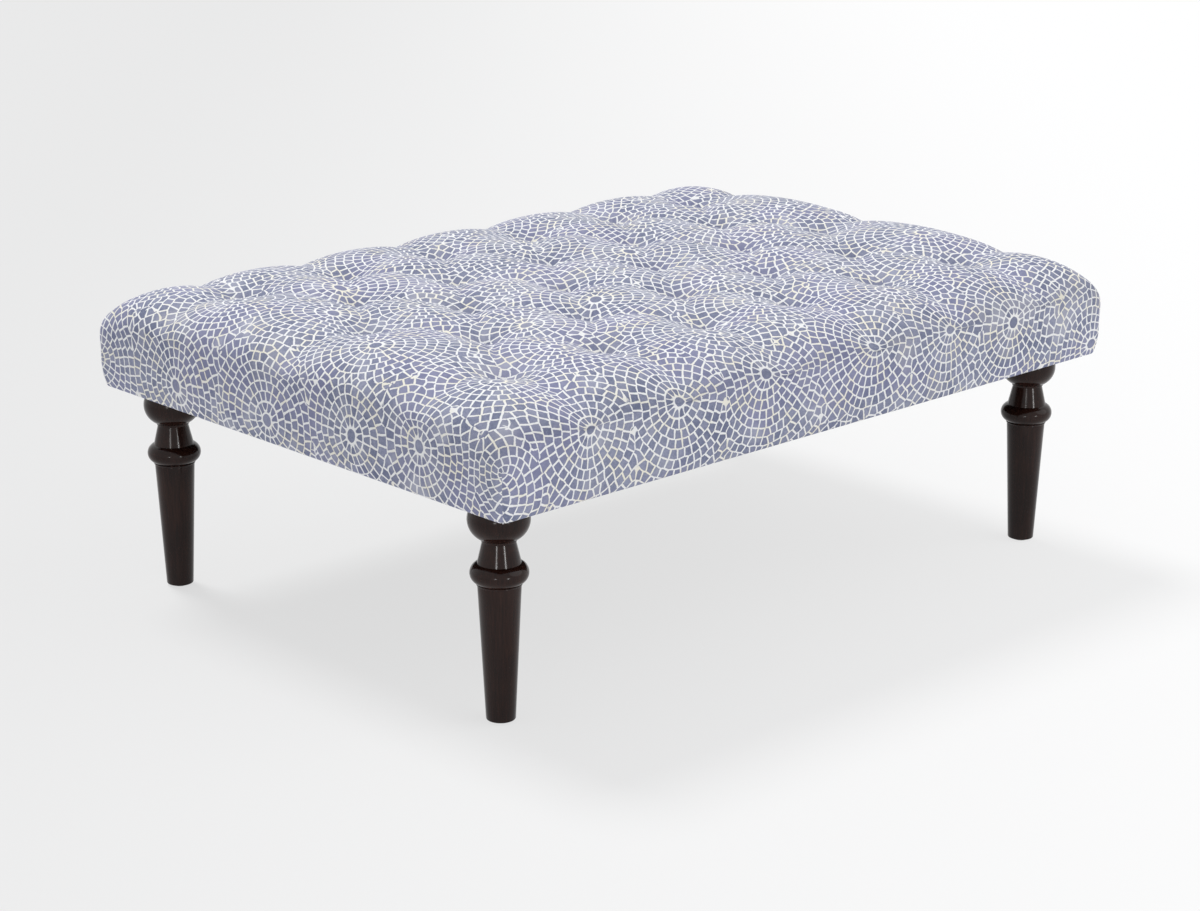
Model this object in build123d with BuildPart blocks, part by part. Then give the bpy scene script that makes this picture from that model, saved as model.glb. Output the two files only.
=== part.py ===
"""Tufted ottoman coffee table on four turned legs.

Millimetres, +Z up. The origin is on the floor under the middle of the table, X runs along its length.
An upholstered body (frame, deck boards, foam, wadding, cover) stands on four turned legs, each
fastened by a hanger bolt and a tee nut in a corner block. Twenty-eight blind tufts hold the cover down.
"""

import os
from math import acos, asin, atan2, cos, degrees, exp, hypot, pi, radians, sin, sqrt

from build123d import *

# Whole table
table_length = 1143.0
table_width = 838.0
underside_height = 287.0
untufted_height = 441.0
overrun = 1.0

# Form of the upholstered body: rolled top edge, softly rounded corners, sides that draw in to the bottom
roll_width = 115.0
roll_drop = 85.0
corner_radius = 45.0
brow_radius = 22.0
side_bulge = 6.0
bulge_rise = 30.0
crown = 3.0
roll_steps = 4
roll_angle = 90.0
end_wave_share = 0.2
tuft_clear_share = 0.06
bulge_middle_share = 0.12

# Tufts: rows along X, every other row moved by half a pitch
tufts_in_long_row = 6
tuft_rows = 5
tuft_margin_x = 134.3
tuft_margin_y = 149.5
tuft_depth = 36.0
tuft_reach = 42.0
tuft_softness = 16.0
pleat_depth = 12.0
pleat_reach = 26.0
rim_crease_depth = 11.0
rim_crease_reach = 40.0
blend_power = 3
crown_power = 4
stations_per_column = 3

# Soft layers, from outside to inside
hem_thickness = 2.5
hem_width = 30.0
padding_thickness = 10.5
wadding_thickness = 5.0
soft_gap = 0.3
foam_height = 56.0
foam_corner_cut = 40.0
foam_bevel_width = 50.0
foam_bevel_height = 35.0
pocket_reach = 50.0
pocket_neck = 10.0
pocket_below_tuft = 11.0
dust_cover_thickness = 0.8
dust_cover_inset = 12.0
dust_cover_corner_cut = 16.0
hem_corner_cut = 12.0

# Timber frame
rail_height = 50.0
rail_thickness = 20.0
brace_height = 40.0
brace_thickness = 20.0
brace_spread = 262.4
board_thickness = 12.0
board_gap = 8.0
frame_corner_cut = 12.0
block_reach = 150.0
block_height = 32.0
block_nose = 18.0

# Legs, from the floor up: tapered shaft, band, ring, neck, collar, ball, seat
leg_inset_x = 60.5
leg_inset_y = 76.0
turning_sides = 16
foot_radius = 18.7
foot_edge = 2.0
shaft_top_radius = 26.8
shaft_top_height = 177.5
band_radius = 28.5
band_height = 3.0
ring_radius = 36.8
ring_height = 30.0
ring_swell_radius = 17.2
ring_steps = 3
neck_foot_radius = 26.0
neck_top_radius = 20.9
neck_height = 25.0
collar_radius = 22.4
ball_radius = 38.6
ball_swell_radius = 28.0
ball_middle_below_body = 23.0
ball_steps = 4
seat_radius = 24.0
seat_gap = 0.4

# Fasteners and glides
fastener_sides = 8
bolt_diameter = 8.0
bolt_in_leg = 38.0
bolt_end_above = 2.0
bolt_clearance = 0.2
bolt_end_gap = 1.0
nut_flange_diameter = 19.0
nut_flange_thickness = 1.6
nut_barrel_diameter = 10.0
nut_barrel_length = 9.0
glide_radius = 11.0
glide_thickness = 2.5
twine_width = 2.0
twine_hole_width = 3.0
twine_tail = 25.0

# Worked out from the sizes above
half_length = table_length / 2
half_width = table_width / 2
frame_bottom = underside_height + hem_thickness
frame_top = frame_bottom + rail_height
deck_top = frame_top + board_thickness
foam_top = deck_top + foam_height
frame_half_length = half_length - padding_thickness
frame_half_width = half_width - padding_thickness
shoulder_height = untufted_height - roll_drop
column_pitch = (table_length - 2 * tuft_margin_x) / (tufts_in_long_row - 1) / 2
row_pitch = (table_width - 2 * tuft_margin_y) / (tuft_rows - 1)
outer_column = tufts_in_long_row - 1
outer_row = tuft_rows // 2
leg_x = half_length - leg_inset_x
leg_y = half_width - leg_inset_y
inner_half_length = frame_half_length - rail_thickness
inner_half_width = frame_half_width - rail_thickness
block_top = frame_bottom + block_height
dust_cover_bottom = underside_height - dust_cover_thickness
wadding_gap = soft_gap + wadding_thickness
cover_gap = wadding_gap + soft_gap


def is_tuft(column, row):
    """Tufts stand on every other place of the grid of half pitches, so that the rows are staggered."""
    return (column + row) % 2 == (outer_column + outer_row) % 2


def grid_point(column, row):
    return (column * column_pitch, row * row_pitch)


def tuft_grid():
    """Column and row numbers of all tufts."""
    columns = range(-outer_column, outer_column + 1)
    rows = range(-outer_row, outer_row + 1)
    return [(column, row) for row in rows for column in columns if is_tuft(column, row)]


def pleat_lines():
    """Folds between neighbouring tufts, which frame each diamond."""
    lines = []
    for column, row in tuft_grid():
        for side in (-1, 1):
            neighbour = (column + side, row + 1)
            if neighbour in tuft_grid():
                lines.append((grid_point(column, row), grid_point(*neighbour)))
    return lines


def rim_lines():
    """Shallow creases that run from the outer tufts over the rolled edge."""
    lines = []
    for column, row in tuft_grid():
        x, y = grid_point(column, row)
        if abs(row) == outer_row:
            lines.append(((x, y), (x, y / abs(y) * half_width)))
        if abs(column) == outer_column:
            lines.append(((x, y), (x / abs(x) * half_length, y)))
    return lines


def distance_to_line(x, y, line):
    """Distance in plan from a point to a straight stretch between two points."""
    (start_x, start_y), (end_x, end_y) = line
    run_x = end_x - start_x
    run_y = end_y - start_y
    share = ((x - start_x) * run_x + (y - start_y) * run_y) / (run_x**2 + run_y**2)
    share = max(0, min(1, share))
    return hypot(x - start_x - share * run_x, y - start_y - share * run_y)


tufts = [grid_point(column, row) for column, row in tuft_grid()]
pleats = pleat_lines()
rim_creases = rim_lines()


def dip(x, y):
    """How far tufts, pleats and rim creases together pull the form down at a point of the plan."""
    pulls = []
    for tuft_x, tuft_y in tufts:
        away = hypot(x - tuft_x, y - tuft_y, tuft_softness) - tuft_softness
        pulls.append(tuft_depth * exp(-away / tuft_reach))
    for line in pleats:
        pulls.append(pleat_depth * exp(-((distance_to_line(x, y, line) / pleat_reach) ** 2)))
    for line in rim_creases:
        pulls.append(rim_crease_depth * exp(-((distance_to_line(x, y, line) / rim_crease_reach) ** 2)))
    return sum(pull**blend_power for pull in pulls) ** (1 / blend_power)


def top_height(x, y, level, wave):
    """Height of the tufted top where the untufted form stands at this level."""
    return level + crown * (1 - (y / half_width) ** crown_power) * wave - dip(x, y) * wave


def half_section(x):
    """Half of a cross-section of the form, from the middle of the top outwards.

    Every second point is the middle of an arc.
    """
    to_end = half_length + side_bulge - abs(x)
    rise = sqrt(max(0, 1 - max(0, 1 - to_end / roll_width) ** 2))
    wave = max(rise, end_wave_share)
    corner_depth = max(0, corner_radius - to_end)
    side = half_width + side_bulge - corner_radius + sqrt(corner_radius**2 - corner_depth**2)
    roll_x = brow_radius + (roll_width - brow_radius) * rise
    roll_z = brow_radius + (roll_drop - brow_radius) * rise
    level = shoulder_height + roll_drop * rise
    flat = side - roll_x
    spread = min(1, flat / ((outer_row + tuft_clear_share) * row_pitch))
    breaks = [step / 2 * row_pitch * spread for step in range(2 * outer_row + 1)] + [flat]
    points = []
    for start, stop in zip(breaks, breaks[1:]):
        middle = (start + stop) / 2
        points.append((start, top_height(x, start, level, wave)))
        points.append((middle, top_height(x, middle, level, wave)))
    for step in range(roll_steps + 1):
        turn = radians(roll_angle * step / roll_steps)
        y = flat + roll_x * sin(turn)
        z = level - roll_z + roll_z * cos(turn)
        points.append((y, z - (level - top_height(x, y, level, wave)) * cos(turn) ** 2))
    draw_in = max(0, 1 - to_end / side_bulge)
    low = underside_height + bulge_rise * draw_in**2
    points.append((side - side_bulge * bulge_middle_share, (level - roll_z + low) / 2))
    points.append((side - side_bulge, low))
    return points


def section_face(x):
    """Closed cross-section of arcs over a straight bottom line."""
    half = half_section(x)
    edge, low = half[-1]
    with BuildLine(Plane.YZ.offset(x)) as outline:
        Line((-edge, low), (edge, low))
        for side in (-1, 1):
            points = [(side * y, z) for y, z in half]
            for index in range(0, len(points) - 2, 2):
                ThreePointArc(*points[index : index + 3])
    return Face(outline.wire())


def stations():
    """Places of the cross-sections along X: even over the tufts and closer together on the rolled ends."""
    count = outer_column * stations_per_column
    places = [step / stations_per_column * column_pitch for step in range(1, count + 1)]
    end = half_length + side_bulge
    for step in range(roll_steps):
        turn = radians(roll_angle * step / roll_steps)
        places.append(end - roll_width * (1 - cos(turn)))
    places.append(end - side_bulge)
    places.sort()
    return [-place for place in reversed(places)] + [0] + places


def rod(start, direction, radius, length, sides, mode=Mode.ADD):
    """Turned bar, or with a subtracting mode a hole, with this many flat sides."""
    with BuildSketch(Plane(origin=start, z_dir=direction)) as section:
        RegularPolygon(radius, sides)
    extrude(section.sketch, amount=length, mode=mode)


def cut_corner_slab(bottom, height, half_x, half_y, corner_cut, mode=Mode.ADD):
    """Flat slab with its corners cut off, centred on the Z axis."""
    with BuildSketch(Plane.XY.offset(bottom)) as outline:
        Rectangle(2 * half_x, 2 * half_y)
        chamfer(outline.vertices(), corner_cut)
    extrude(outline.sketch, amount=height, mode=mode)


def save(piece, name):
    piece.part.label = name
    export_step(piece.part, f"parts/{name}.step")


os.makedirs("parts", exist_ok=True)
corners = {
    "front_left": (-1, -1),
    "front_right": (1, -1),
    "back_left": (-1, 1),
    "back_right": (1, 1),
}
pocket_floor = min(top_height(x, y, untufted_height, 1) for x, y in tufts) - pocket_below_tuft


def foam_pocket(gap):
    """Square funnel below the origin, wide at the top; a gap makes it narrower."""
    run = pocket_reach - pocket_neck
    depth = foam_top - pocket_floor
    with BuildPart() as pocket:
        with BuildSketch():
            Rectangle(2 * (pocket_reach - gap), 2 * (pocket_reach - gap))
        extrude(amount=depth, taper=degrees(atan2(run, depth)))
    return pocket.part.mirror(Plane.XY)


def foam_outline(height, gap):
    """Plan of the foam at a height: a rectangle with its corners cut off, grown by a gap."""
    with BuildSketch(Plane.XY.offset(height)) as outline:
        Rectangle(2 * (frame_half_length + gap), 2 * (frame_half_width + gap))
        chamfer(outline.vertices(), foam_corner_cut)
    return outline.sketch


def foam_block(gap):
    """Foam with bevelled top edges and a pocket under each tuft, or the space that it leaves with a gap."""
    bevel_bottom = foam_top - foam_bevel_height + gap
    with BuildPart() as block:
        extrude(foam_outline(deck_top, gap), amount=bevel_bottom - deck_top)
        extrude(
            foam_outline(bevel_bottom, gap),
            amount=foam_bevel_height,
            taper=degrees(atan2(foam_bevel_width, foam_bevel_height)),
        )
        with Locations(*[(x, y, foam_top + gap) for x, y in tufts]):
            add(foam_pocket(gap), mode=Mode.SUBTRACT)
    return block.part


def twine_holes():
    """Cuts a square hole for the tufting twine at each tuft."""
    with Locations(*[(x, y, foam_top) for x, y in tufts]):
        Box(twine_hole_width, twine_hole_width, 2 * foam_height, mode=Mode.SUBTRACT)


# Cover: tufted cloth with the filling of its puffs, turned under the frame as a flat hem
with BuildPart() as cover:
    loft([section_face(x) for x in stations()], ruled=True, clean=False)
    add(foam_block(cover_gap), mode=Mode.SUBTRACT)
    cut_corner_slab(
        frame_bottom,
        deck_top - frame_bottom,
        frame_half_length + soft_gap,
        frame_half_width + soft_gap,
        frame_corner_cut,
        mode=Mode.SUBTRACT,
    )
    cut_corner_slab(
        underside_height - overrun,
        hem_thickness + 2 * overrun,
        half_length - hem_width,
        half_width - hem_width,
        hem_corner_cut,
        mode=Mode.SUBTRACT,
    )
save(cover, "cover")

# Wadding: an even layer over the foam
with BuildPart() as wadding:
    add(foam_block(wadding_gap))
    add(foam_block(soft_gap), mode=Mode.SUBTRACT)
    twine_holes()
save(wadding, "wadding")

# Foam core, pierced where the tufting twine passes
with BuildPart() as foam:
    add(foam_block(0))
    twine_holes()
save(foam, "foam_core")

# Tufting twine: one stitch per tuft, drawn through foam and deck and laid back under a board
with BuildPart() as twine:
    low = frame_top - twine_width
    for x, y in tufts:
        with BuildSketch(Plane.XY.offset(low)):
            with Locations((x, y)):
                Rectangle(twine_width, twine_width)
        extrude(amount=pocket_floor + wadding_gap - low)
        with BuildSketch(Plane.XY.offset(low)):
            with Locations((x, y)):
                Rectangle(twine_width, twine_tail, align=(Align.CENTER, Align.MIN))
        extrude(amount=twine_width)
save(twine, "tufting_twine")

# Rails: two long ones with their outer corners cut off, two short ones between them
for name, side in (("rail_front", -1), ("rail_back", 1)):
    with BuildPart() as rail:
        with BuildSketch(Plane.XY.offset(frame_bottom)) as rail_plan:
            with Locations((0, side * (frame_half_width - rail_thickness / 2))):
                Rectangle(2 * frame_half_length, rail_thickness)
            outer = rail_plan.vertices().sort_by(Axis.Y)
            chamfer(outer[-2:] if side > 0 else outer[:2], frame_corner_cut)
        extrude(amount=rail_height)
    save(rail, name)

for name, side in (("rail_left", -1), ("rail_right", 1)):
    with BuildPart() as rail:
        with BuildSketch(Plane.XY.offset(frame_bottom)):
            with Locations((side * (frame_half_length - rail_thickness / 2), 0)):
                Rectangle(rail_thickness, 2 * inner_half_width)
        extrude(amount=rail_height)
    save(rail, name)

# Cross braces under the deck
for name, side in (("brace_left", -1), ("brace_right", 1)):
    with BuildPart() as brace:
        with BuildSketch(Plane.XY.offset(frame_top - brace_height)):
            with Locations((side * brace_spread / 2, 0)):
                Rectangle(brace_thickness, 2 * inner_half_width)
        extrude(amount=brace_height)
    save(brace, name)

# Deck boards: their gaps lie under the tuft rows and let the twine through
board_lines = [row * row_pitch for row in range(-outer_row, outer_row + 1)]
board_starts = [-frame_half_width] + [line + board_gap / 2 for line in board_lines]
board_ends = [line - board_gap / 2 for line in board_lines] + [frame_half_width]
for number, (start, stop) in enumerate(zip(board_starts, board_ends), 1):
    with BuildPart() as board:
        with BuildSketch(Plane.XY.offset(frame_top)) as board_plan:
            with Locations((0, (start + stop) / 2)):
                Rectangle(2 * frame_half_length, stop - start)
            board_corners = board_plan.vertices().sort_by(Axis.Y)
            if number == 1:
                chamfer(board_corners[:2], frame_corner_cut)
            if number == len(board_starts):
                chamfer(board_corners[-2:], frame_corner_cut)
        extrude(amount=board_thickness)
    save(board, f"deck_board_{number}")

# Corner blocks, tee nuts and hanger bolts
for corner_name, (side_x, side_y) in corners.items():
    with BuildPart() as block:
        with BuildSketch(Plane.XY.offset(frame_bottom)):
            with BuildLine():
                inner_corner = (side_x * inner_half_length, side_y * inner_half_width)
                far_x = side_x * (inner_half_length - block_reach)
                far_y = side_y * (inner_half_width - block_reach)
                nose_x = side_x * (inner_half_length - block_nose)
                nose_y = side_y * (inner_half_width - block_nose)
                Polyline(
                    inner_corner,
                    (far_x, inner_corner[1]),
                    (far_x, nose_y),
                    (nose_x, far_y),
                    (inner_corner[0], far_y),
                    close=True,
                )
            make_face()
        extrude(amount=block_height)
        bolt_axis = (side_x * leg_x, side_y * leg_y)
        for top, diameter, depth in (
            (block_top, bolt_diameter, block_height),
            (block_top, nut_barrel_diameter, nut_barrel_length + bolt_clearance),
        ):
            radius = diameter / 2 + bolt_clearance
            rod((*bolt_axis, top), (0, 0, -1), radius, depth, fastener_sides, Mode.SUBTRACT)
    save(block, f"corner_block_{corner_name}")

with BuildPart() as tee_nuts:
    for side_x, side_y in corners.values():
        nut_seat = (side_x * leg_x, side_y * leg_y, block_top)
        nut_top = (side_x * leg_x, side_y * leg_y, block_top + nut_flange_thickness)
        nut_length = nut_flange_thickness + nut_barrel_length
        rod(nut_seat, (0, 0, 1), nut_flange_diameter / 2, nut_flange_thickness, fastener_sides)
        rod(nut_seat, (0, 0, -1), nut_barrel_diameter / 2, nut_barrel_length, fastener_sides)
        bore_radius = bolt_diameter / 2 + bolt_clearance
        rod(nut_top, (0, 0, -1), bore_radius, nut_length, fastener_sides, Mode.SUBTRACT)
save(tee_nuts, "tee_nuts")

with BuildPart() as hanger_bolts:
    for side_x, side_y in corners.values():
        length = bolt_in_leg + block_height + nut_flange_thickness + bolt_end_above
        bolt_foot = (side_x * leg_x, side_y * leg_y, frame_bottom - bolt_in_leg)
        rod(bolt_foot, (0, 0, 1), bolt_diameter / 2, length, fastener_sides)
save(hanger_bolts, "hanger_bolts")


def swell_points(middle_height, swell_middle, swell_radius, start_angle, stop_angle, steps):
    """Points of a rounded bead: radius and height, from its low end to its high end."""
    points = []
    for step in range(steps + 1):
        angle = start_angle + (stop_angle - start_angle) * step / steps
        points.append((swell_middle + swell_radius * cos(angle), middle_height + swell_radius * sin(angle)))
    return points


def leg_outline():
    """Radius and height of the turned leg from the foot up to the seat."""
    ring_bottom = shaft_top_height + band_height
    ring_top = ring_bottom + ring_height
    neck_top = ring_top + neck_height
    ring_angle = asin(ring_height / 2 / ring_swell_radius)
    ring_swell_middle = ring_radius - ring_swell_radius
    ring_middle = (ring_bottom + ring_top) / 2
    ball_middle = underside_height - ball_middle_below_body
    ball_swell_middle = ball_radius - ball_swell_radius
    ball_low = -acos((collar_radius - ball_swell_middle) / ball_swell_radius)
    ball_high = asin((dust_cover_bottom - seat_gap - ball_middle) / ball_swell_radius)
    ball = swell_points(ball_middle, ball_swell_middle, ball_swell_radius, ball_low, ball_high, ball_steps)
    return [
        (foot_radius - foot_edge, glide_thickness),
        (foot_radius, glide_thickness + foot_edge),
        (shaft_top_radius, shaft_top_height),
        (band_radius, shaft_top_height),
        (band_radius, ring_bottom),
        *swell_points(ring_middle, ring_swell_middle, ring_swell_radius, -ring_angle, ring_angle, ring_steps),
        (neck_foot_radius, ring_top),
        (neck_top_radius, neck_top),
        (collar_radius, neck_top),
        *ball,
        (seat_radius, ball[-1][1]),
        (seat_radius, frame_bottom),
    ]


def leg_stretch(axis_point, low_radius, low, high_radius, high):
    """Stretch of a leg between two heights, tapered towards either end."""
    narrowing = abs(low_radius - high_radius) * cos(pi / turning_sides)
    with BuildPart() as stretch:
        with BuildSketch():
            RegularPolygon(max(low_radius, high_radius), turning_sides)
        extrude(amount=high - low, taper=degrees(atan2(narrowing, high - low)))
    upright = low_radius > high_radius
    with Locations((*axis_point, low if upright else high)):
        add(stretch.part if upright else stretch.part.mirror(Plane.XY))


# Legs, turned in flat facets, each with a bore for its bolt, and glides
for corner_name, (side_x, side_y) in corners.items():
    leg_axis = (side_x * leg_x, side_y * leg_y)
    with BuildPart() as leg:
        outline = leg_outline()
        for (low_radius, low), (high_radius, high) in zip(outline, outline[1:]):
            if high > low:
                leg_stretch(leg_axis, low_radius, low, high_radius, high)
        bore_radius = bolt_diameter / 2 + bolt_clearance
        bore_depth = bolt_in_leg + bolt_end_gap
        rod((*leg_axis, frame_bottom), (0, 0, -1), bore_radius, bore_depth, fastener_sides, Mode.SUBTRACT)
    save(leg, f"leg_{corner_name}")
    with BuildPart() as glide:
        rod((*leg_axis, 0), (0, 0, 1), glide_radius, glide_thickness, turning_sides)
    save(glide, f"glide_{corner_name}")

# Dust cover: thin cloth over the underside, cut out round the legs
with BuildPart() as dust_cover:
    cut_corner_slab(
        dust_cover_bottom,
        dust_cover_thickness,
        half_length - dust_cover_inset,
        half_width - dust_cover_inset,
        dust_cover_corner_cut,
    )
    for side_x, side_y in corners.values():
        hole_foot = (side_x * leg_x, side_y * leg_y, dust_cover_bottom)
        rod(
            hole_foot,
            (0, 0, 1),
            seat_radius + seat_gap,
            dust_cover_thickness,
            turning_sides,
            Mode.SUBTRACT,
        )
save(dust_cover, "dust_cover")
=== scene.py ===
"""Looks of the tufted ottoman coffee table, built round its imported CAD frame.

Metres, +Z up. The body's tufted cloth and the turned legs are built here, from sizes in millimetres.
The other pieces are CAD nodes, which get their materials here.
"""

from math import acos, asin, cos, pi, radians, sin

import bpy
import numpy as np
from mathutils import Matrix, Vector

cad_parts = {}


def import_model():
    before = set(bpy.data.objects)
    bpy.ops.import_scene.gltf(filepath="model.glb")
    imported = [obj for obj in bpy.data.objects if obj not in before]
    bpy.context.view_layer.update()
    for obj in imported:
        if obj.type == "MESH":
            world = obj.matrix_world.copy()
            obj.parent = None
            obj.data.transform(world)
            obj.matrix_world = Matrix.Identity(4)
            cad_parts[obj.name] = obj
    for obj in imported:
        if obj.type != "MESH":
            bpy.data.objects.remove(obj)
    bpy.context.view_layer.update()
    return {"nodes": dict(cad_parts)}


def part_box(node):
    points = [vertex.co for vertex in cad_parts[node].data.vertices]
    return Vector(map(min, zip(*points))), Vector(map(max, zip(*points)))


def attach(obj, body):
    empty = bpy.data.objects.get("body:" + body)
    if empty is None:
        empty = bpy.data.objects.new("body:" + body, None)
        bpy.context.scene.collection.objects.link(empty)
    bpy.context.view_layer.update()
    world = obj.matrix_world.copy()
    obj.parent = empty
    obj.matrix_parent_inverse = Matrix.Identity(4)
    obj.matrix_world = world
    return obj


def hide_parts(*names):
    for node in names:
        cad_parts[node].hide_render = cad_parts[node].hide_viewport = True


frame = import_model()

MM = 0.001

# Form of the body in millimetres: length, width, tuft places and underside as in the CAD source, with fuller
# puffs and less rounded corners
TABLE_LENGTH = 1143.0
TABLE_WIDTH = 838.0
UNDERSIDE = 287.0
UNTUFTED_HEIGHT = 431.0
CROWN = 15.5
CROWN_POWER = 4

# Rolled top edge and rounded corners
ROLL_WIDTH = 117.0
ROLL_DROP = 49.5
LEAST_RISE = 1e-3
CORNER_RADIUS = 18.0
CORNER_FULLNESS = 2.4
CORNER_DROP = 28.0
CORNER_DROP_REACH = 125.0

# Tufts, with a small pinch in the middle of each
TUFTS_IN_LONG_ROW = 6
TUFT_ROWS = 5
TUFT_MARGIN_X = 134.3
TUFT_MARGIN_Y = 149.5
TUFT_DEPTH = 35.5
TUFT_REACH = 60.0
TUFT_SOFTNESS = 6.0
PINCH_DEPTH = 5.0
PINCH_REACH = 9.0
PINCH_SOFTNESS = 3.0

# Pleats between the tufts, and creases from the outer tufts over the rolled edge
PLEAT_DEPTH = 17.5
PLEAT_REACH = 20.0
PLEAT_SOFTNESS = 4.0
RIM_CREASE_DEPTH = 17.5
RIM_CREASE_REACH = 38.0
RIM_CREASE_SOFTNESS = 8.0
BLEND_POWER = 3
FOLD_FADE = 0.5

# Sides and hem
SIDE_BULGE = 6.0
STRAIGHT_SHARE = 0.5
WALL_CREASE_SHARE = 0.18
# Brings the highest value of share * (1 - share) ** 2 to 1
CREASE_GAIN = 27 / 4
CORNER_FOLD_DEPTH = 2.5
CORNER_FOLD_REACH = 3.5
HEM_WIDTH = 30.0
HEM_ROUNDING = 4.0
CLOTH_THICKNESS = 2.0

HALF_LENGTH = TABLE_LENGTH / 2
HALF_WIDTH = TABLE_WIDTH / 2
OUTER_X = HALF_LENGTH + SIDE_BULGE
OUTER_Y = HALF_WIDTH + SIDE_BULGE
SHOULDER = UNTUFTED_HEIGHT - ROLL_DROP
COLUMN_PITCH = (TABLE_LENGTH - 2 * TUFT_MARGIN_X) / (TUFTS_IN_LONG_ROW - 1) / 2
ROW_PITCH = (TABLE_WIDTH - 2 * TUFT_MARGIN_Y) / (TUFT_ROWS - 1)
OUTER_COLUMN = TUFTS_IN_LONG_ROW - 1
OUTER_ROW = TUFT_ROWS // 2

# Fineness of the cloth mesh and of its unwrapping
STEPS_PER_COLUMN = 16
STEPS_PER_ROW = 24
ROLL_STEPS = 22
SIDE_STEPS = 18
ROUND_STEPS = 4
HEM_STEPS = 4
UNWRAP_ROUNDS = 3

# Camera and stage in metres
CAMERA_PLACE = (-2.628, -2.777, 1.339)
CAMERA_TARGET = (-0.2951, -0.2926, 0.2867)
CAMERA_LENS = 83.96
SENSOR_WIDTH = 36.0
FLOOR_REACH = 14.0
FLOOR_FADE_WAY = (0.729, -0.684)
FLOOR_FADE_REACH = 1.4
FLOOR_EVEN_SHARE = 0.8
SKY_COLOUR = (0.96, 0.97, 1.0, 1)
SKY_STRENGTH = 0.455
# Each distant light: azimuth, elevation and softness in degrees, and power
LIGHTS = {
    "key": (85.0, 58.0, 20.0, 2.35),
    "side": (-50.0, 35.0, 50.0, 0.5),
    "front_glint": (-146.0, 7.0, 5.5, 0.18),
    "right_glint": (-97.0, 7.0, 5.5, 0.24),
}


def srgb(red, green, blue):
    """Linear colour of an 8-bit screen colour."""
    linear = []
    for value in (red, green, blue):
        share = value / 255
        linear.append(share / 12.92 if share <= 0.04045 else ((share + 0.055) / 1.055) ** 2.4)
    return (*linear, 1)


FLOOR_LEFT = srgb(230, 230, 230)
FLOOR_RIGHT = srgb(251, 251, 251)
TILE_DARK = srgb(109, 116, 142)
TILE_LIGHT = srgb(156, 160, 182)
TILE_RIM = srgb(94, 101, 128)
TILE_WARM = srgb(172, 173, 186)
TILE_LILAC = srgb(136, 136, 172)
# Whitish haze of painted highlight, mixed into the print in place of the sheen on the puffs
TILE_HIGHLIGHT_HAZE = srgb(188, 191, 206)
GROUT_WHITE = srgb(240, 240, 241)
GROUT_CREAM = srgb(239, 235, 222)
# Two tones of each plainer material, between which its noise blends
STAINED_WOOD_TONES = (srgb(25, 11, 8), srgb(47, 26, 20))
FRAME_TIMBER_TONES = (srgb(205, 172, 126), srgb(172, 134, 90))
DECK_TIMBER_TONES = (srgb(212, 182, 138), srgb(184, 148, 104))
WADDING_TONES = (srgb(240, 240, 236), srgb(226, 226, 220))
FOAM_TONES = (srgb(236, 224, 182), srgb(218, 204, 158))
TWINE_TONES = (srgb(208, 198, 172), srgb(180, 168, 138))
DUST_CLOTH_TONES = (srgb(24, 24, 26), srgb(46, 46, 49))
STEEL_TONES = (srgb(150, 150, 152), srgb(196, 196, 199))
NYLON_TONES = (srgb(34, 32, 32), srgb(74, 72, 70))


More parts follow.
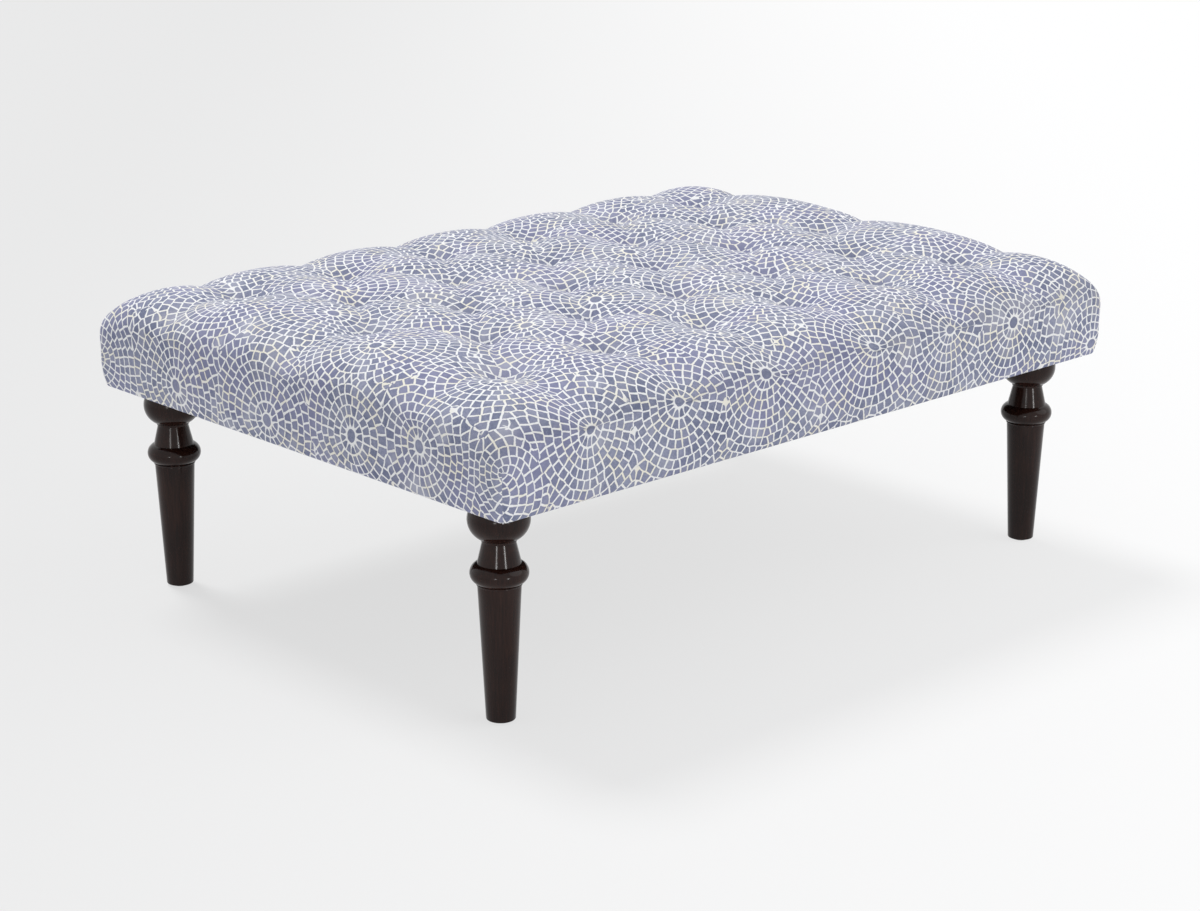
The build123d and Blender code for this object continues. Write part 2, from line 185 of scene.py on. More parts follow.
class Nodes:
    """Short ways to build the node tree of a new material or world."""

    def __init__(self, name, kind="materials"):
        self.owner = getattr(bpy.data, kind).new(name)
        self.owner.use_nodes = True
        self.tree = self.owner.node_tree
        self.tree.nodes.clear()

    def node(self, kind, inputs=None, **settings):
        made = self.tree.nodes.new("ShaderNode" + kind)
        for key, value in settings.items():
            setattr(made, key, value)
        for key, value in (inputs or {}).items():
            self.feed(made.inputs[key], value)
        return made

    def feed(self, socket, value):
        """Links an output to a socket, or sets the socket's own value."""
        if isinstance(value, bpy.types.NodeSocket):
            self.tree.links.new(value, socket)
        else:
            socket.default_value = value

    def math(self, operation, first, second=0.0, third=0.0):
        return self.node("Math", {0: first, 1: second, 2: third}, operation=operation).outputs[0]

    def vector(self, operation, first, second=(0, 0, 0)):
        made = self.node("VectorMath", {0: first, 1: second}, operation=operation)
        return made.outputs["Value" if operation in ("LENGTH", "DISTANCE", "DOT_PRODUCT") else "Vector"]

    def mix(self, share, first, second):
        """Blend of two colours."""
        return self.node("Mix", {0: share, 6: first, 7: second}, data_type="RGBA").outputs[2]

    def mix_value(self, share, first, second):
        return self.node("Mix", {0: share, 2: first, 3: second}, data_type="FLOAT").outputs[0]

    def mix_place(self, share, first, second):
        inputs = {0: share, 4: first, 5: second}
        return self.node("Mix", inputs, data_type="VECTOR", clamp_factor=False).outputs[1]

    def join(self, x, y, z=0.0):
        return self.node("CombineXYZ", {"X": x, "Y": y, "Z": z}).outputs[0]

    def parts(self, vector):
        """The x, y and z of a vector."""
        return self.node("SeparateXYZ", {0: vector}).outputs

    def noise(self, vector, scale, detail=2.0, roughness=0.5, output="Fac"):
        inputs = {"Vector": vector, "Scale": scale, "Detail": detail, "Roughness": roughness}
        return self.node("TexNoise", inputs).outputs[output]

    def centred(self, value):
        """A noise or random number moved so that its mean is zero."""
        return self.math("SUBTRACT", value, 0.5)

    def pushed(self, value, random, reach):
        """A value pushed up or down by a noise or random number, by at most half the reach."""
        return self.math("MULTIPLY_ADD", self.centred(random), reach, value)

    def pushed_place(self, place, random, reach):
        """A place in the plane pushed about by a coloured noise, by at most half the reach each way."""
        centred = self.vector("SUBTRACT", random, (0.5, 0.5, 0.5))
        return self.vector("ADD", place, self.vector("MULTIPLY", centred, (reach, reach, 0)))

    def fit(self, value, low, high, new_low=0.0, new_high=1.0, way="LINEAR"):
        """A value's share of the way from low to high, brought to a new range."""
        inputs = {0: value, 1: low, 2: high, 3: new_low, 4: new_high}
        return self.node("MapRange", inputs, interpolation_type=way).outputs[0]

    def smooth(self, value, **span):
        """Like fit, with soft ends."""
        return self.fit(value, **span, way="SMOOTHSTEP")

    def bump(self, height, distance, strength):
        return self.node("Bump", {"Height": height, "Distance": distance, "Strength": strength}).outputs[0]

    def surface(self, **inputs):
        """Closes the material with a shader whose sockets are named here with underscores."""
        shader = self.node("BsdfPrincipled", {key.replace("_", " "): value for key, value in inputs.items()})
        self.node("OutputMaterial", {0: shader.outputs[0]})
        return self.owner


# Printed cloth, in metres on the cloth

# Layout of the rings round the medallions' centres
MEDALLION_PITCH = 0.178
MEDALLION_SHIFT = 0.6
SEED_RANGE = 97.0
RING_PITCH = 0.0132
TILE_LENGTH = 0.0128
CENTRE_SHARE = 0.28
PETALS = 13
MORE_EACH_RING = 5
DISC_EXTRA = 0.0028
RING_STRETCH = 1.6
BEND_REACH = 0.025
WOBBLE_REACH = 0.0022
CALM_JITTER = 0.06
WILD_JITTER = 0.34
CALM_RINGS = 4.0
WILD_RINGS = 9.0
FAR = 1.0

# Joints between the tiles
GROUT_WIDTH = 0.0029
CORNER_SHARE = 0.22
LEAST_STEP = RING_PITCH / 8
FINE_JOINT = 0.0005
FINE_JOINT_REACH = 0.012
FULL_JOINT_REACH = 0.04
DISC_RING = 0.0094
PETAL_RING = 0.0233
RAGGED_REACH = 0.0013
EDGE_BLEED = 0.0005
EDGE_FADE = 0.0003
RIM_WIDTH = 0.0014
RIM_SHARE = 0.3

# What each tile's shade takes from its random tone, the wash, the patches and the linen threads
TONE_WEIGHT = 0.4
WASH_WEIGHT = 0.45
PATCH_WEIGHT = 1.0
LINEN_WEIGHT = 0.7
STREAK_STRETCH = 9
# Where the noises of the warm and lilac patches and of the painted highlight haze are read, so that they
# don't follow each other
WARM_SHIFT = (1.7, 0.4, 0)
LILAC_SHIFT = (0.3, 2.9, 0)
HIGHLIGHT_HAZE_SHIFT = (4.1, 1.3, 0)
SECOND_TONE_RANGE = 23.0

THREAD_PITCH = 0.0009
SLUB_STRETCH = 12
SLUB_WEIGHT = 1.5


def medallion(tree, place, feature):
    """Place and random number of the nearest or second nearest medallion centre."""
    inputs = {"Vector": place, "Scale": 1 / MEDALLION_PITCH, "Randomness": MEDALLION_SHIFT}
    found = tree.node("TexVoronoi", inputs, voronoi_dimensions="2D", feature=feature)
    seed = tree.node("SeparateColor", {0: found.outputs["Color"]}).outputs[0]
    return found.outputs["Position"], tree.math("MULTIPLY", seed, SEED_RANGE)


def stretched(tree, vector, way, stretch):
    """A vector made longer along one way."""
    part = tree.math("MULTIPLY", tree.vector("DOT_PRODUCT", vector, way), stretch - 1)
    along = tree.node("VectorMath", {0: way, "Scale": part}, operation="SCALE").outputs[0]
    return tree.vector("ADD", vector, along)


def ring_plan(tree, ring):
    """A ring's distance from the centre, counted in rings, and its number of tiles. Ring 0 is the disc."""
    reach = tree.math("ADD", ring, tree.math("MINIMUM", ring, CENTRE_SHARE))
    round_trip = tree.math("ROUND", tree.math("MULTIPLY", reach, 2 * pi * RING_PITCH / TILE_LENGTH))
    petals = tree.math("MULTIPLY_ADD", ring, MORE_EACH_RING, PETALS - MORE_EACH_RING)
    petals = tree.math("MINIMUM", petals, tree.math("MULTIPLY_ADD", ring, PETALS - 1, 1.0))
    return reach, tree.math("MAXIMUM", round_trip, petals)


def tile_middle(tree, turns, rings_out):
    """A tile's middle as seen from its medallion's centre."""
    angle = tree.math("MULTIPLY", turns, 2 * pi)
    reach = tree.math("MULTIPLY", tree.math("MAXIMUM", rings_out, 0.0), RING_PITCH)
    across = tree.math("MULTIPLY", reach, tree.math("COSINE", angle))
    upward = tree.math("MULTIPLY", reach, tree.math("SINE", angle))
    return tree.join(across, upward)


def tiles_near(tree, place, centre, other, seed):
    """The four tiles of a medallion's rings that lie round a place: middle, distance and random tone.

    Tiles that lie nearer to the other medallion's centre are put far away.
    """
    offset = tree.vector("SUBTRACT", place, centre)
    sides = tree.parts(offset)
    turns_here = tree.math("DIVIDE", tree.math("ARCTAN2", sides[1], sides[0]), 2 * pi)
    towards_other = tree.vector("SUBTRACT", other, centre)
    limit = tree.math("MULTIPLY", tree.vector("DOT_PRODUCT", towards_other, towards_other), 0.5)
    outward_way = tree.vector("NORMALIZE", offset)
    rings_out = tree.math("DIVIDE", tree.vector("LENGTH", offset), RING_PITCH)
    inner_ring = tree.math("FLOOR", tree.math("SUBTRACT", rings_out, CENTRE_SHARE))
    inner_ring = tree.math("MAXIMUM", inner_ring, 0.0)
    near = []
    for outward in (0.0, 1.0):
        ring = tree.math("ADD", inner_ring, outward)
        reach, count = ring_plan(tree, ring)
        jitter = tree.fit(ring, low=CALM_RINGS, high=WILD_RINGS, new_low=CALM_JITTER, new_high=WILD_JITTER)
        phase = tree.node("TexWhiteNoise", {"Vector": tree.join(ring, seed)}).outputs["Value"]
        first = tree.math("FLOOR", tree.math("MULTIPLY_ADD", turns_here, count, phase))
        is_disc = tree.math("LESS_THAN", ring, 0.5)
        for onward in (0.0, 1.0):
            number = tree.math("ADD", first, onward)
            label = tree.join(tree.math("WRAP", number, count, 0.0), ring, seed)
            label_colour = tree.node("TexWhiteNoise", {"Vector": label}).outputs["Color"]
            random_around, random_out, tone = tree.node("SeparateColor", {0: label_colour}).outputs
            around = tree.math("SUBTRACT", tree.pushed(number, random_around, jitter), phase)
            out = tree.pushed(reach, random_out, jitter)
            middle = tile_middle(tree, tree.math("DIVIDE", around, count), out)
            step = stretched(tree, tree.vector("SUBTRACT", middle, offset), outward_way, RING_STRETCH)
            distance = tree.vector("LENGTH", step)
            beyond = tree.math("GREATER_THAN", tree.vector("DOT_PRODUCT", middle, towards_other), limit)
            if onward:
                beyond = tree.math("MAXIMUM", beyond, is_disc)
            else:
                distance = tree.math("SUBTRACT", distance, tree.math("MULTIPLY", is_disc, DISC_EXTRA))
            distance = tree.math("MULTIPLY_ADD", beyond, FAR, distance)
            near.append((tree.vector("ADD", centre, middle), distance, tone))
    return near


def two_nearest(tree, tiles):
    """The nearest and second nearest tile's middles and distances, and the nearest one's tone."""
    (closest, distance, tone), *others = tiles
    runner_up, second_distance = closest, 2 * FAR
    for middle, its_distance, its_tone in others:
        nearer = tree.math("LESS_THAN", its_distance, distance)
        in_between = tree.math("LESS_THAN", its_distance, second_distance)
        runner_up = tree.mix_place(nearer, tree.mix_place(in_between, runner_up, middle), closest)
        second_distance = tree.math("MINIMUM", second_distance, tree.math("MAXIMUM", distance, its_distance))
        closest = tree.mix_place(nearer, closest, middle)
        tone = tree.mix_value(nearer, tone, its_tone)
        distance = tree.math("MINIMUM", distance, its_distance)
    return closest, distance, runner_up, second_distance, tone


def mosaic_print(tree, cloth):
    """Gap to the nearest tile border, the tile's random tone and the distance from its medallion's centre."""
    bend = tree.noise(cloth, scale=7.0, detail=1.0, output="Color")
    wobble = tree.noise(cloth, scale=60.0, output="Color")
    place = tree.pushed_place(tree.pushed_place(cloth, bend, BEND_REACH), wobble, WOBBLE_REACH)
    first, first_seed = medallion(tree, place, "F1")
    second, second_seed = medallion(tree, place, "F2")
    near = tiles_near(tree, place, first, second, first_seed)
    near += tiles_near(tree, place, second, first, second_seed)
    closest, distance, runner_up, second_distance, tone = two_nearest(tree, near)

    apart = tree.math("SUBTRACT", second_distance, distance)
    outward_way = tree.vector("NORMALIZE", tree.vector("SUBTRACT", place, first))
    step = stretched(tree, tree.vector("SUBTRACT", runner_up, closest), outward_way, RING_STRETCH**2)
    between = tree.math("MAXIMUM", tree.vector("LENGTH", step), LEAST_STEP)
    straight = tree.math("MULTIPLY", apart, tree.math("ADD", distance, second_distance))
    blend = tree.mix_value(CORNER_SHARE, tree.math("DIVIDE", straight, between), apart)
    return tree.math("MULTIPLY", blend, 0.5), tone, tree.vector("DISTANCE", place, first)


def tile_edge(tree, cloth, gap, from_centre):
    """Distance from the joints' middle lines, ragged like ink, with two circles round each centre."""
    ragged = tree.math("MULTIPLY", tree.centred(tree.noise(cloth, scale=380.0, detail=3.0)), RAGGED_REACH)
    joint_span = {"low": FINE_JOINT_REACH, "high": FULL_JOINT_REACH, "new_low": FINE_JOINT, "new_high": 0.0}
    thinner = tree.smooth(from_centre, **joint_span)
    edge = tree.math("ADD", tree.math("ADD", gap, ragged), thinner)
    for ring_radius in (DISC_RING, PETAL_RING):
        from_ring = tree.math("ABSOLUTE", tree.math("SUBTRACT", from_centre, ring_radius))
        edge = tree.math("MINIMUM", edge, tree.math("ADD", from_ring, ragged))
    return edge


def tile_blue(tree, cloth, tone, rim):
    """Washed blue-grey of the tiles, with a darker rim, warm and lilac tints, and whitish patches of painted
    highlight.
    """
    wash = tree.fit(tree.noise(cloth, scale=210.0, detail=5.0, roughness=0.7), low=0.32, high=0.68)
    shade = tree.math("MULTIPLY_ADD", tone, TONE_WEIGHT, tree.math("MULTIPLY", wash, WASH_WEIGHT))
    shade = tree.pushed(shade, tree.noise(cloth, scale=13.0), PATCH_WEIGHT)
    streaks = tree.noise(tree.vector("MULTIPLY", cloth, (1, STREAK_STRETCH, 1)), scale=240.0)
    cross_streaks = tree.noise(tree.vector("MULTIPLY", cloth, (STREAK_STRETCH, 1, 1)), scale=240.0)
    linen = tree.math("SUBTRACT", tree.math("ADD", streaks, cross_streaks), 1.0)
    shade = tree.math("MULTIPLY_ADD", linen, LINEN_WEIGHT, shade)
    blue = tree.mix(tree.fit(shade, low=0.1, high=0.8), TILE_DARK, TILE_LIGHT)
    blue = tree.mix(tree.math("MULTIPLY", rim, RIM_SHARE), blue, TILE_RIM)

    second_tone = tree.math("FRACT", tree.math("MULTIPLY", tone, SECOND_TONE_RANGE))
    warm = tree.noise(tree.vector("ADD", cloth, WARM_SHIFT), scale=10.0, detail=1.0)
    warm = tree.smooth(warm, low=0.52, high=0.68)
    odd = tree.smooth(second_tone, low=0.35, high=0.6, new_low=0.1, new_high=0.55)
    blue = tree.mix(tree.math("MULTIPLY", warm, odd), blue, TILE_WARM)
    lilac = tree.noise(tree.vector("ADD", cloth, LILAC_SHIFT), scale=8.0)
    blue = tree.mix(tree.smooth(lilac, low=0.45, high=0.62, new_high=0.45), blue, TILE_LILAC)
    # Painted highlight: whitish patches, placed by noise, stand in for the sheen on the puffs
    painted_haze = tree.noise(tree.vector("ADD", cloth, HIGHLIGHT_HAZE_SHIFT), scale=15.0)
    return tree.mix(tree.smooth(painted_haze, low=0.58, high=0.76, new_high=0.5), blue, TILE_HIGHLIGHT_HAZE)


def woven_height(tree, cloth):
    """Plain weave with uneven threads."""
    warp = tree.parts(cloth)
    threads = 2 * pi / THREAD_PITCH
    across = tree.math("SINE", tree.math("MULTIPLY", warp[0], threads))
    along = tree.math("SINE", tree.math("MULTIPLY", warp[1], threads))
    slub = tree.noise(tree.vector("MULTIPLY", cloth, (1, SLUB_STRETCH, 1)), scale=220.0)
    return tree.math("ADD", tree.math("MULTIPLY", across, along), tree.math("MULTIPLY", slub, SLUB_WEIGHT))


def mosaic_cloth():
    """Plain-woven cloth printed with rings of small tiles round scattered centres."""
    tree = Nodes("printed_cloth")
    cloth = tree.node("UVMap", uv_map="cloth").outputs[0]
    gap, tone, from_centre = mosaic_print(tree, cloth)
    edge = tile_edge(tree, cloth, gap, from_centre)
    half_joint = GROUT_WIDTH / 2
    inside = tree.smooth(edge, low=half_joint - EDGE_BLEED, high=half_joint + EDGE_FADE)
    rim = tree.smooth(edge, low=half_joint, high=half_joint + RIM_WIDTH, new_low=1.0, new_high=0.0)
    creamy = tree.smooth(tree.noise(cloth, scale=26.0), low=0.45, high=0.7)
    grout = tree.mix(creamy, GROUT_WHITE, GROUT_CREAM)
    return tree.surface(
        Base_Color=tree.mix(inside, grout, tile_blue(tree, cloth, tone, rim)),
        Roughness=0.9,
        Sheen_Weight=0.08,
        Sheen_Roughness=0.5,
        Specular_IOR_Level=0.15,
        Normal=tree.bump(woven_height(tree, cloth), distance=0.00012, strength=0.5),
    )


# Plainer materials

GRAIN_WEIGHT = 0.7
CLOUD_WEIGHT = 0.4
FUZZ_WEIGHT = 0.6


def dark_lacquered_wood():
    """Espresso-stained hardwood under satin lacquer, with faint grain along the turning."""
    tree = Nodes("espresso_wood")
    place = tree.node("TexCoord").outputs["Object"]
    grain = tree.noise(tree.vector("MULTIPLY", place, (1, 1, 0.06)), scale=420.0, detail=4.0, roughness=0.65)
    cloud = tree.noise(place, scale=18.0)
    clouded = tree.math("MULTIPLY", cloud, CLOUD_WEIGHT)
    share = tree.math("ADD", tree.math("MULTIPLY", grain, GRAIN_WEIGHT), clouded)
    return tree.surface(
        Base_Color=tree.mix(tree.smooth(share, low=0.35, high=0.8), *STAINED_WOOD_TONES),
        Roughness=tree.fit(grain, low=0.3, high=0.7, new_low=0.12, new_high=0.18),
        Normal=tree.bump(grain, distance=0.00005, strength=0.25),
        Specular_IOR_Level=0.22,
    )


def timber(name, tones):
    """Sawn timber with long grain."""
    tree = Nodes(name)
    place = tree.node("TexCoord").outputs["Object"]
    grain = tree.noise(tree.vector("MULTIPLY", place, (0.12, 1, 1)), scale=160.0, detail=5.0, roughness=0.6)
    colour = tree.mix(tree.smooth(grain, low=0.3, high=0.7), *tones)
    normal = tree.bump(grain, distance=0.0002, strength=0.4)
    return tree.surface(Base_Color=colour, Roughness=0.7, Normal=normal)


def fibre(name, tones, scale):
    """Matt fibrous or foamed stuff."""
    tree = Nodes(name)
    place = tree.node("TexCoord").outputs["Object"]
    fuzz = tree.noise(place, scale, detail=4.0, roughness=0.65)
    colour = tree.mix(tree.smooth(fuzz, low=0.3, high=0.7), *tones)
    normal = tree.bump(fuzz, distance=0.0003, strength=0.6)
    return tree.surface(Base_Color=colour, Roughness=0.95, Normal=normal)


def dust_cloth():
    """Black non-woven cloth, pressed with small dimples."""
    tree = Nodes("dust_cloth")
    place = tree.node("TexCoord").outputs["Object"]
    inputs = {"Vector": place, "Scale": 600.0, "Randomness": 0.1}
    dimples = tree.node("TexVoronoi", inputs, voronoi_dimensions="2D").outputs["Distance"]
    fuzz = tree.noise(place, scale=900.0, detail=3.0)
    height = tree.math("ADD", dimples, tree.math("MULTIPLY", fuzz, FUZZ_WEIGHT))
    colour = tree.mix(tree.smooth(fuzz, low=0.35, high=0.7), *DUST_CLOTH_TONES)
    normal = tree.bump(height, distance=0.0001, strength=0.5)
    return tree.surface(Base_Color=colour, Roughness=0.92, Normal=normal)


def zinc_steel():
    """Zinc-plated steel with fine brushing."""
    tree = Nodes("zinc_steel")
    place = tree.node("TexCoord").outputs["Object"]
    brushed = tree.noise(tree.vector("MULTIPLY", place, (1, 1, 0.1)), scale=900.0, detail=3.0)
    rough = tree.fit(brushed, low=0.3, high=0.7, new_low=0.3, new_high=0.45)
    return tree.surface(Base_Color=tree.mix(brushed, *STEEL_TONES), Metallic=1.0, Roughness=rough)


def nylon():
    """Dark moulded nylon, scuffed by the floor."""
    tree = Nodes("glide_nylon")
    place = tree.node("TexCoord").outputs["Object"]
    scuff = tree.noise(place, scale=700.0, detail=4.0)
    return tree.surface(
        Base_Color=tree.mix(tree.smooth(scuff, low=0.5, high=0.75), *NYLON_TONES),
        Roughness=tree.fit(scuff, low=0.3, high=0.7, new_low=0.45, new_high=0.7),
        Normal=tree.bump(scuff, distance=0.00005, strength=0.4),
    )


# Form of the cloth

def tuft_grid():
    """Column and row numbers of all tufts: every other place of the grid of half pitches."""
    places = []
    for row in range(-OUTER_ROW, OUTER_ROW + 1):
        for column in range(-OUTER_COLUMN, OUTER_COLUMN + 1):
            if (column + row) % 2 == (OUTER_COLUMN + OUTER_ROW) % 2:
                places.append((column, row))
    return places


def grid_point(column, row):
    return (column * COLUMN_PITCH, row * ROW_PITCH)


def pleat_lines():
    """Folds between neighbouring tufts, which frame each diamond."""
    grid = tuft_grid()
    lines = []
    for column, row in grid:
        for side in (-1, 1):
            if (column + side, row + 1) in grid:
                lines.append((grid_point(column, row), grid_point(column + side, row + 1)))
    return lines


def rim_lines():
    """Shallow creases that run from the outer tufts over the rolled edge."""
    lines = []
    for column, row in tuft_grid():
        x, y = grid_point(column, row)
        if abs(row) == OUTER_ROW:
            lines.append(((x, y), (x, y / abs(y) * HALF_WIDTH)))
        if abs(column) == OUTER_COLUMN:
            lines.append(((x, y), (x / abs(x) * HALF_LENGTH, y)))
    return lines


def line_distance(x, y, line):
    """Distance in plan from points to a straight stretch."""
    (start_x, start_y), (end_x, end_y) = line
    run_x = end_x - start_x
    run_y = end_y - start_y
    share = ((x - start_x) * run_x + (y - start_y) * run_y) / (run_x**2 + run_y**2)
    share = np.clip(share, 0, 1)
    return np.hypot(x - start_x - share * run_x, y - start_y - share * run_y)


def fold(away, depth, reach, softness):
    """Depth of a fold at a distance from its lowest line: a valley with a soft bottom and rounding brows."""
    return depth * np.exp(-(np.hypot(away, softness) - softness) / reach)


def dip(x, y):
    """How far tufts, pleats and rim creases together pull the form down."""
    total = np.zeros_like(x)
    pinch = np.zeros_like(x)
    for column, row in tuft_grid():
        tuft_x, tuft_y = grid_point(column, row)
        away = np.hypot(x - tuft_x, y - tuft_y)
        total += fold(away, TUFT_DEPTH, TUFT_REACH, TUFT_SOFTNESS) ** BLEND_POWER
        pinch += fold(away, PINCH_DEPTH, PINCH_REACH, PINCH_SOFTNESS)
    for line in pleat_lines():
        away = line_distance(x, y, line)
        total += fold(away, PLEAT_DEPTH, PLEAT_REACH, PLEAT_SOFTNESS) ** BLEND_POWER
    for line in rim_lines():
        away = line_distance(x, y, line)
        total += fold(away, RIM_CREASE_DEPTH, RIM_CREASE_REACH, RIM_CREASE_SOFTNESS) ** BLEND_POWER
    return total ** (1 / BLEND_POWER) + pinch


def roll(from_edge):
    """Rise of the rolled edge, 0 at the rim and 1 where it meets the top."""
    return np.sqrt(np.maximum(0, 1 - np.maximum(0, 1 - from_edge / ROLL_WIDTH) ** 2))


def height_field(x, y, pulled):
    """Height of the top and the rolled edges over points of the uncut plan, less what the folds pull down."""
    end_rise = np.maximum(roll(OUTER_X - np.abs(x)), LEAST_RISE)
    side_rise = np.maximum(roll(OUTER_Y - np.abs(y)), LEAST_RISE)
    rise = (end_rise**-CORNER_FULLNESS + side_rise**-CORNER_FULLNESS - 1) ** (-1 / CORNER_FULLNESS)
    crown = CROWN * (1 - (np.minimum(np.abs(y), HALF_WIDTH) / HALF_WIDTH) ** CROWN_POWER)
    near_end = np.maximum(0, 1 - (OUTER_X - np.abs(x)) / CORNER_DROP_REACH) ** 2
    near_side = np.maximum(0, 1 - (OUTER_Y - np.abs(y)) / CORNER_DROP_REACH) ** 2
    corner_drop = CORNER_DROP * near_end * near_side * (1 - rise)
    return SHOULDER + ROLL_DROP * rise - corner_drop + (crown - pulled) * rise**FOLD_FADE


def grid_lines(half, steps, pitch):
    """Places of the mesh lines along one axis: even over the tufts and closer together on the rolled ends."""
    step = pitch / steps
    places = list(np.arange(0, half - ROLL_WIDTH - step / 2, step))
    turns = [pi / 2 * index / ROLL_STEPS for index in range(ROLL_STEPS + 1)]
    places += [half - ROLL_WIDTH * (1 - sin(turn)) for turn in turns]
    return np.array([-place for place in reversed(places[1:])] + places)


def round_corners(x, y):
    """Moves plan points of a rectangle so that its corners become quarter circles."""
    from_x = OUTER_X - CORNER_RADIUS
    from_y = OUTER_Y - CORNER_RADIUS
    part_x = np.clip((np.abs(x) - from_x) / CORNER_RADIUS, 0, 1)
    part_y = np.clip((np.abs(y) - from_y) / CORNER_RADIUS, 0, 1)
    rounded_x = from_x + CORNER_RADIUS * part_x * np.sqrt(1 - part_y**2 / 2)
    rounded_y = from_y + CORNER_RADIUS * part_y * np.sqrt(1 - part_x**2 / 2)
    new_x = np.where(part_x > 0, rounded_x, np.abs(x))
    new_y = np.where(part_y > 0, rounded_y, np.abs(y))
    return np.sign(x) * new_x, np.sign(y) * new_y


def draw_in(depth):
    """How far the side walls stand in from their widest line, by share of the way down."""
    return SIDE_BULGE * max(0.0, depth - STRAIGHT_SHARE) ** 2 / (1 - STRAIGHT_SHARE) ** 2


def wall_profile():
    """Steps of the skin below the rim: how far in, at what share of the fall, and how far below that."""
    steps = []
    for index in range(1, SIDE_STEPS + 1):
        share = index / SIDE_STEPS
        steps.append((draw_in(share), share, 0))
    for index in range(1, ROUND_STEPS + 1):
        turn = pi / 2 * index / ROUND_STEPS
        steps.append((SIDE_BULGE + HEM_ROUNDING * (1 - cos(turn)), 1.0, HEM_ROUNDING * sin(turn)))
    for index in range(1, HEM_STEPS + 1):
        inward = (HEM_WIDTH - HEM_ROUNDING) * index / HEM_STEPS
        steps.append((SIDE_BULGE + HEM_ROUNDING + inward, 1.0, HEM_ROUNDING))
    return steps


def hanging_rings(rim, pulled):
    """Rings of points below the rim, down the sides and round under the hem. The rim's creases run on."""
    ahead = (np.roll(rim, -1, axis=0) - np.roll(rim, 1, axis=0))[:, :2]
    outward = np.stack([ahead[:, 1], -ahead[:, 0]], axis=-1)
    outward /= np.linalg.norm(outward, axis=1)[:, None]
    corner = np.array([OUTER_X, OUTER_Y]) - CORNER_RADIUS * (1 - cos(pi / 4))
    from_corner = np.linalg.norm(np.abs(rim[:, :2]) - corner, axis=1)
    tuck = CORNER_FOLD_DEPTH * np.exp(-((from_corner / CORNER_FOLD_REACH) ** 2))
    fall = rim[:, 2] - UNDERSIDE - HEM_ROUNDING
    rings = []
    for inset, share, sink in wall_profile():
        height = rim[:, 2] - fall * share - sink
        crease = WALL_CREASE_SHARE * pulled * CREASE_GAIN * share * (1 - share) ** 2
        inward = (inset + tuck * share + crease)[:, None]
        rings.append(np.column_stack([rim[:, :2] - outward * inward, height]))
    return rings


def grid_faces(numbers):
    """Four-cornered faces between the points of a grid of point numbers."""
    corners = (numbers[:-1, :-1], numbers[1:, :-1], numbers[1:, 1:], numbers[:-1, 1:])
    return np.stack(corners, axis=-1).reshape(-1, 4)


def laid_flat(points, faces, seams):
    """Blender's own unwrap of a form, cut along the seams: one flat point for each corner of each face."""
    mesh = bpy.data.meshes.new("form")
    mesh.from_pydata((points * MM).tolist(), [], faces.tolist())
    mesh.uv_layers.new(name="cloth")
    seam_edges = {tuple(sorted(edge)) for edge in seams}
    for edge in mesh.edges:
        edge.use_seam = tuple(sorted(edge.vertices)) in seam_edges
    piece = bpy.data.objects.new("form", mesh)
    bpy.context.collection.objects.link(piece)
    bpy.context.view_layer.objects.active = piece
    piece.select_set(True)
    bpy.ops.object.mode_set(mode="EDIT")
    bpy.ops.mesh.select_all(action="SELECT")
    bpy.ops.uv.unwrap(method="MINIMUM_STRETCH", iterations=UNWRAP_ROUNDS)
    bpy.ops.object.mode_set(mode="OBJECT")
    flat = np.zeros(len(mesh.loops) * 2)
    mesh.uv_layers["cloth"].data.foreach_get("uv", flat)
    bpy.data.objects.remove(piece)
    bpy.data.meshes.remove(mesh)
    return flat.reshape(faces.shape[0], 4, 2)


def cloth_coordinates(points, faces, seams):
    """Places on the cloth in metres from the middle of the top: the flat form at its real size and turn."""
    flat = laid_flat(points, faces, seams)
    real_steps = (points[faces[:, 1]] - points[faces[:, 0]]) * MM
    flat_steps = flat[:, 1] - flat[:, 0]
    growth = np.linalg.norm(real_steps, axis=1).sum() / np.linalg.norm(flat_steps, axis=1).sum()
    middle = np.argmin(np.linalg.norm(points[faces[:, 0], :2], axis=1) - points[faces[:, 0], 2])
    turn = complex(*real_steps[middle, :2]) / complex(*flat_steps[middle])
    cloth = ((flat - flat[middle, 0]) @ (1, 1j)) * turn / abs(turn) * growth
    return np.stack([cloth.real, cloth.imag], axis=-1)


def cushion_mesh():
    """Skin of the body with cloth coordinates: tufted top, rolled edges, drawn-in sides and hem."""
    x_places = grid_lines(OUTER_X, STEPS_PER_COLUMN, COLUMN_PITCH)
    y_places = grid_lines(OUTER_Y, STEPS_PER_ROW, ROW_PITCH)
    grid_x, grid_y = np.meshgrid(x_places, y_places, indexing="ij")
    plan_x, plan_y = round_corners(grid_x, grid_y)

    numbers = np.arange(grid_x.size).reshape(grid_x.shape)
    border = (numbers[:-1, 0], numbers[-1, :-1], numbers[:0:-1, -1], numbers[0, :0:-1])
    loop = np.concatenate(border)
    rows = len(wall_profile())
    hanging = [grid_x.size + len(loop) * depth + np.arange(len(loop)) for depth in range(rows)]
    rings = np.vstack([loop] + hanging)
    closed = np.column_stack([rings, rings[:, 0]])
    faces = np.concatenate([grid_faces(numbers), grid_faces(closed)])
    corners = np.cumsum([0] + [len(side) for side in border[:-1]])
    seams = [(rings[depth, place], rings[depth + 1, place]) for place in corners for depth in range(rows)]

    forms = []
    for pulled in (0 * plan_x, dip(plan_x, plan_y)):
        top = np.stack([plan_x, plan_y, height_field(grid_x, grid_y, pulled)], axis=-1).reshape(-1, 3)
        forms.append(np.concatenate([top] + hanging_rings(top[loop], pulled.ravel()[loop])))
    smooth, tufted = forms

    mesh = bpy.data.meshes.new("cushion")
    mesh.from_pydata((tufted * MM).tolist(), [], faces.tolist())
    layer = mesh.uv_layers.new(name="cloth")
    layer.data.foreach_set("uv", cloth_coordinates(smooth, faces, seams).ravel())
    return mesh


def smooth_faces(mesh):
    for polygon in mesh.polygons:
        polygon.use_smooth = True


